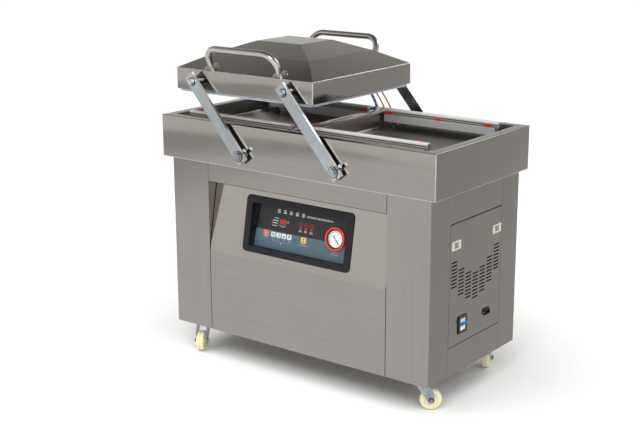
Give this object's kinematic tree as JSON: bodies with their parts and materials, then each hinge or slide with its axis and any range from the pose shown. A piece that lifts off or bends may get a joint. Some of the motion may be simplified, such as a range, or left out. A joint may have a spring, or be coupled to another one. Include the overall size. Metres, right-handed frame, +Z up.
{
  "type": "double chamber vacuum packing machine",
  "caption": "Double-chamber vacuum packing machine: a lid with grab handles swings on parallel link bars between sunk sealing chambers over a wheeled stainless cabinet with a keypad and gauge.",
  "frame": {"origin": "on the floor, below the middle of the table and halfway between the front and rear link screws", "axes": "+X to the operator's right along the table, +Y from the operator's side to the back, +Z up"},
  "size_m": [1.26, 0.718, 1.2527],
  "materials": {
    "stainless_brushed": "brushed",
    "polished_stainless": "polished",
    "zinc_plate": "zinc plated",
    "aluminium": "mill",
    "brass": "satin",
    "black_plastic": "fine texture",
    "keypad_film": "semi-gloss film",
    "red_lamp": "lit",
    "gauge_red": "gloss",
    "white_plastic": "gloss",
    "clear_glass": "clear",
    "pump_paint": "satin paint",
    "winding_varnish": "varnish",
    "black_rubber": "matt",
    "white_silicone": "satin",
    "red_plastic": "gloss",
    "yellow_plastic": "gloss",
    "clear_silicone": "translucent",
    "violet_hose": "braided",
    "glass_fibre_braid": "braided",
    "blue_plastic": "gloss",
    "cream_nylon": "moulded"
  },
  "bodies": {
    "cabinet": {"base_frame": "stainless_brushed", "corner_pillars": "stainless_brushed", "front_header": "stainless_brushed", "front_panel": "stainless_brushed", "right_fixed_panels": "stainless_brushed", "right_access_panel": "stainless_brushed", "left_side_panel": "stainless_brushed", "rear_panel": "stainless_brushed", "table_shell": "stainless_brushed", "control_bezel": "black_plastic", "control_membrane": "keypad_film", "panel_indicators": "red_lamp", "gauge_ring": "gauge_red", "gauge_dial": "white_plastic", "gauge_glass": "clear_glass", "breaker_body": "white_plastic", "breaker_frame": "black_plastic", "power_inlet": "black_plastic", "latch_frames": "white_plastic", "vacuum_pump": "pump_paint", "transformers": "winding_varnish", "shaft_bearings": "zinc_plate", "bar_posts": "black_rubber", "caster_plates": "zinc_plate", "seal_bars": "aluminium", "seal_strips": "white_silicone", "bag_clips": "red_plastic", "bar_terminals": "brass"},
    "right_links": {"shaft_right": "zinc_plate", "link_front_right": "zinc_plate", "link_rear_right": "zinc_plate", "clamp_bolts_right": "zinc_plate"},
    "left_links": {"shaft_left": "zinc_plate", "link_front_left": "zinc_plate", "link_rear_left": "zinc_plate", "clamp_bolts_left": "zinc_plate"},
    "lid": {"lid_shell": "stainless_brushed", "lid_gasket": "clear_silicone", "lid_handles": "polished_stainless", "lid_pivot_studs": "zinc_plate", "lid_seal_bars": "aluminium"},
    "air_hose": {"lid_air_hose": "violet_hose"},
    "heater_lead_1": {"heater_lead_left": "glass_fibre_braid"},
    "heater_lead_2": {"heater_lead_right": "glass_fibre_braid"},
    "fork_fl": {"caster_fork_fl": "zinc_plate"},
    "wheel_fl": {"caster_wheel_fl": "cream_nylon"},
    "fork_fr": {"caster_fork_fr": "zinc_plate"},
    "wheel_fr": {"caster_wheel_fr": "cream_nylon"},
    "fork_bl": {"caster_fork_bl": "zinc_plate"},
    "wheel_bl": {"caster_wheel_bl": "cream_nylon"},
    "fork_br": {"caster_fork_br": "zinc_plate"},
    "wheel_br": {"caster_wheel_br": "cream_nylon"},
    "key_red_body": {"key_red": "red_plastic"},
    "key_white_a_body": {"key_white_a": "white_plastic"},
    "key_white_b_body": {"key_white_b": "white_plastic"},
    "key_white_c_body": {"key_white_c": "white_plastic"},
    "key_white_d_body": {"key_white_d": "white_plastic"},
    "key_yellow_body": {"key_yellow": "yellow_plastic"},
    "toggle": {"breaker_toggle": "blue_plastic"},
    "needle": {"gauge_needle": "black_plastic"}
  },
  "joints": [
    {"name": "lid_swing", "type": "hinge", "parent": "cabinet", "child": "right_links", "pos_m": [0.22, 0, 0.853], "axis": [0, 1, 0], "range_deg": [-21.5, 102.9]},
    {"name": "left_link_swing", "type": "hinge", "parent": "cabinet", "child": "left_links", "pos_m": [-0.22, 0, 0.853], "axis": [0, 1, 0], "range_deg": [-21.5, 102.9]},
    {"name": "lid_level", "type": "hinge", "parent": "right_links", "child": "lid", "pos_m": [-0.00237, 0, 1.11152], "axis": [0, 1, 0], "range_deg": [-102.9, 21.5]},
    {"name": "hose_swing", "type": "hinge", "parent": "cabinet", "child": "air_hose", "pos_m": [-0.061, 0.336, 0.853], "axis": [0, 1, 0], "range_deg": [-21.5, 102.9]},
    {"name": "heater_lead_1_swing", "type": "hinge", "parent": "cabinet", "child": "heater_lead_1", "pos_m": [0, 0.336, 0.853], "axis": [0, 1, 0], "range_deg": [-21.5, 102.9]},
    {"name": "heater_lead_2_swing", "type": "hinge", "parent": "cabinet", "child": "heater_lead_2", "pos_m": [0.038, 0.336, 0.853], "axis": [0, 1, 0], "range_deg": [-21.5, 102.9]},
    {"name": "swivel_fl", "type": "hinge", "parent": "cabinet", "child": "fork_fl", "pos_m": [-0.524, -0.2275, 0.105], "axis": [0, 0, 1], "continuous": true},
    {"name": "wheel_spin_fl", "type": "hinge", "parent": "fork_fl", "child": "wheel_fl", "pos_m": [-0.50704, -0.26151, 0.04], "axis": [0.8949, 0.4462, 0], "continuous": true},
    {"name": "swivel_fr", "type": "hinge", "parent": "cabinet", "child": "fork_fr", "pos_m": [0.524, -0.2275, 0.105], "axis": [0, 0, 1], "continuous": true},
    {"name": "wheel_spin_fr", "type": "hinge", "parent": "fork_fr", "child": "wheel_fr", "pos_m": [0.55415, -0.20437, 0.04], "axis": [-0.6088, 0.7934, 0], "continuous": true},
    {"name": "swivel_bl", "type": "hinge", "parent": "cabinet", "child": "fork_bl", "pos_m": [-0.524, 0.2345, 0.105], "axis": [0, 0, 1], "continuous": true},
    {"name": "wheel_spin_bl", "type": "hinge", "parent": "fork_bl", "child": "wheel_bl", "pos_m": [-0.55844, 0.21844, 0.04], "axis": [0.4226, -0.9063, 0], "continuous": true},
    {"name": "swivel_br", "type": "hinge", "parent": "cabinet", "child": "fork_br", "pos_m": [0.524, 0.2345, 0.105], "axis": [0, 0, 1], "continuous": true},
    {"name": "wheel_spin_br", "type": "hinge", "parent": "fork_br", "child": "wheel_br", "pos_m": [0.50704, 0.26851, 0.04], "axis": [-0.8949, -0.4462, 0], "continuous": true},
    {"name": "press_red", "type": "slide", "parent": "cabinet", "child": "key_red_body", "axis": [0, 0.9839, -0.1788], "range_m": [0, 0.0008], "stiffness_N_per_m": 1200, "springref_m": -0.0003},
    {"name": "press_white_a", "type": "slide", "parent": "cabinet", "child": "key_white_a_body", "axis": [0, 0.9839, -0.1788], "range_m": [0, 0.0008], "stiffness_N_per_m": 1200, "springref_m": -0.0003},
    {"name": "press_white_b", "type": "slide", "parent": "cabinet", "child": "key_white_b_body", "axis": [0, 0.9839, -0.1788], "range_m": [0, 0.0008], "stiffness_N_per_m": 1200, "springref_m": -0.0003},
    {"name": "press_white_c", "type": "slide", "parent": "cabinet", "child": "key_white_c_body", "axis": [0, 0.9839, -0.1788], "range_m": [0, 0.0008], "stiffness_N_per_m": 1200, "springref_m": -0.0003},
    {"name": "press_white_d", "type": "slide", "parent": "cabinet", "child": "key_white_d_body", "axis": [0, 0.9839, -0.1788], "range_m": [0, 0.0008], "stiffness_N_per_m": 1200, "springref_m": -0.0003},
    {"name": "press_yellow", "type": "slide", "parent": "cabinet", "child": "key_yellow_body", "axis": [0, 0.9839, -0.1788], "range_m": [0, 0.0008], "stiffness_N_per_m": 1200, "springref_m": -0.0003},
    {"name": "breaker_switch", "type": "hinge", "parent": "cabinet", "child": "toggle", "pos_m": [0.6, -0.075, 0.2965], "axis": [0, 1, 0], "range_deg": [0, 64]},
    {"name": "gauge_reading", "type": "hinge", "parent": "cabinet", "child": "needle", "pos_m": [0.1617, -0.25303, 0.57836], "axis": [0, 0.9839, -0.1788], "range_deg": [-265, 0], "stiffness_Nm_per_rad": 0.002}
  ],
  "couplings": [
    {"joint": "left_link_swing", "follows": "lid_swing", "ratio": 1},
    {"joint": "lid_level", "follows": "lid_swing", "ratio": -1},
    {"joint": "hose_swing", "follows": "lid_swing", "ratio": 1},
    {"joint": "heater_lead_1_swing", "follows": "lid_swing", "ratio": 1},
    {"joint": "heater_lead_2_swing", "follows": "lid_swing", "ratio": 1}
  ]
}
